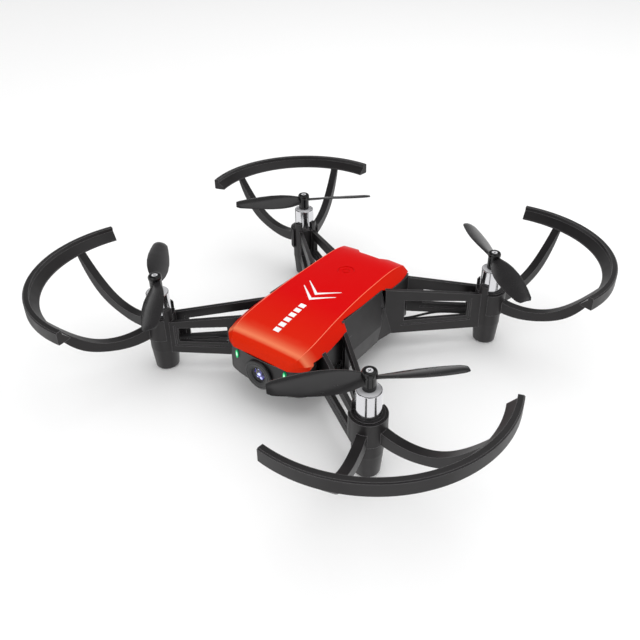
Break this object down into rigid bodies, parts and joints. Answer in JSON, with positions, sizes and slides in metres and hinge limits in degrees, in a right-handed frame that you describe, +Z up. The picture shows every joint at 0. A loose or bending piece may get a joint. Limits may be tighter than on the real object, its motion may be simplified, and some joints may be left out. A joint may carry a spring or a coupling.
{
  "type": "mini palm drone",
  "caption": "Palm-sized camera quadcopter with a glossy shell, slotted fixed arms, clip-on guard arcs, spinning propellers, a power button and a rear pull-out battery.",
  "frame": {"origin": "on the ground plane, at the centre of the rectangle of the four rotor axes", "axes": "+Z up along the rotor axes, nose and camera towards -Y, +X to the drone's left"},
  "size_m": [0.1846, 0.179, 0.0426],
  "materials": {
    "red_gloss": "glossy moulded plastic",
    "charcoal_plastic": "fine satin moulded plastic",
    "black_gloss": "gloss",
    "propeller_black": "semi gloss",
    "lens_glass": "coated glass",
    "led_glow": "lit clear plastic",
    "motor_can": "polished steel",
    "steel": "bright",
    "copper": "enamelled copper wire",
    "gold_contact": "plated",
    "board_green": "solder mask",
    "flex_amber": "flexible film",
    "chip_black": "epoxy",
    "white_plastic": "moulded",
    "wire_black": "insulated wire",
    "cell_foil": "satin foil",
    "screw_black": "blackened steel"
  },
  "bodies": {
    "airframe": {"antenna": "gold_contact", "battery_cable": "wire_black", "battery_connector": "white_plastic", "belly_cover": "charcoal_plastic", "board_screws": "steel", "camera_barrel": "black_gloss", "camera_bezel": "black_gloss", "camera_board": "board_green", "camera_flex": "flex_amber", "camera_lens": "lens_glass", "gyro_sensor": "chip_black", "led_left": "led_glow", "led_right": "led_glow", "main_board": "board_green", "main_frame": "charcoal_plastic", "motor_can_front_left": "motor_can", "motor_can_front_right": "motor_can", "motor_can_rear_left": "motor_can", "motor_can_rear_right": "motor_can", "motor_drivers": "chip_black", "motor_end_caps": "white_plastic", "motor_leads_front_left": "wire_black", "motor_leads_front_right": "wire_black", "motor_leads_rear_left": "wire_black", "motor_leads_rear_right": "wire_black", "motor_magnets": "steel", "nose_plate": "charcoal_plastic", "pressure_sensor": "steel", "processor": "chip_black", "prop_guard_front_left": "charcoal_plastic", "prop_guard_front_right": "charcoal_plastic", "prop_guard_rear_left": "charcoal_plastic", "prop_guard_rear_right": "charcoal_plastic", "shell_screws": "screw_black", "tact_switch": "steel", "top_shell": "red_gloss", "wifi_module": "steel"},
    "rotor_front_left": {"motor_shaft_front_left": "steel", "motor_winding_front_left": "copper", "propeller_front_left": "propeller_black", "prop_screw_front_left": "steel"},
    "rotor_front_right": {"motor_shaft_front_right": "steel", "motor_winding_front_right": "copper", "propeller_front_right": "propeller_black", "prop_screw_front_right": "steel"},
    "rotor_rear_left": {"motor_shaft_rear_left": "steel", "motor_winding_rear_left": "copper", "propeller_rear_left": "propeller_black", "prop_screw_rear_left": "steel"},
    "rotor_rear_right": {"motor_shaft_rear_right": "steel", "motor_winding_rear_right": "copper", "propeller_rear_right": "propeller_black", "prop_screw_rear_right": "steel"},
    "power_button": {"power_button": "red_gloss"},
    "battery": {"battery_case": "charcoal_plastic", "battery_cell": "cell_foil", "battery_contacts": "gold_contact"}
  },
  "joints": [
    {"name": "spin_front_left", "type": "hinge", "parent": "airframe", "child": "rotor_front_left", "pos_m": [0.0473, -0.0445, 0.0377], "axis": [0, 0, 1], "continuous": true},
    {"name": "spin_front_right", "type": "hinge", "parent": "airframe", "child": "rotor_front_right", "pos_m": [-0.0473, -0.0445, 0.0377], "axis": [0, 0, 1], "continuous": true},
    {"name": "spin_rear_left", "type": "hinge", "parent": "airframe", "child": "rotor_rear_left", "pos_m": [0.0473, 0.0445, 0.0377], "axis": [0, 0, 1], "continuous": true},
    {"name": "spin_rear_right", "type": "hinge", "parent": "airframe", "child": "rotor_rear_right", "pos_m": [-0.0473, 0.0445, 0.0377], "axis": [0, 0, 1], "continuous": true},
    {"name": "power_button_press", "type": "slide", "parent": "airframe", "child": "power_button", "axis": [0, 0, -1], "range_m": [0, 0.0004], "stiffness_N_per_m": 400},
    {"name": "battery_slide", "type": "slide", "parent": "airframe", "child": "battery", "axis": [0, 1, 0], "range_m": [0, 0.045]}
  ]
}
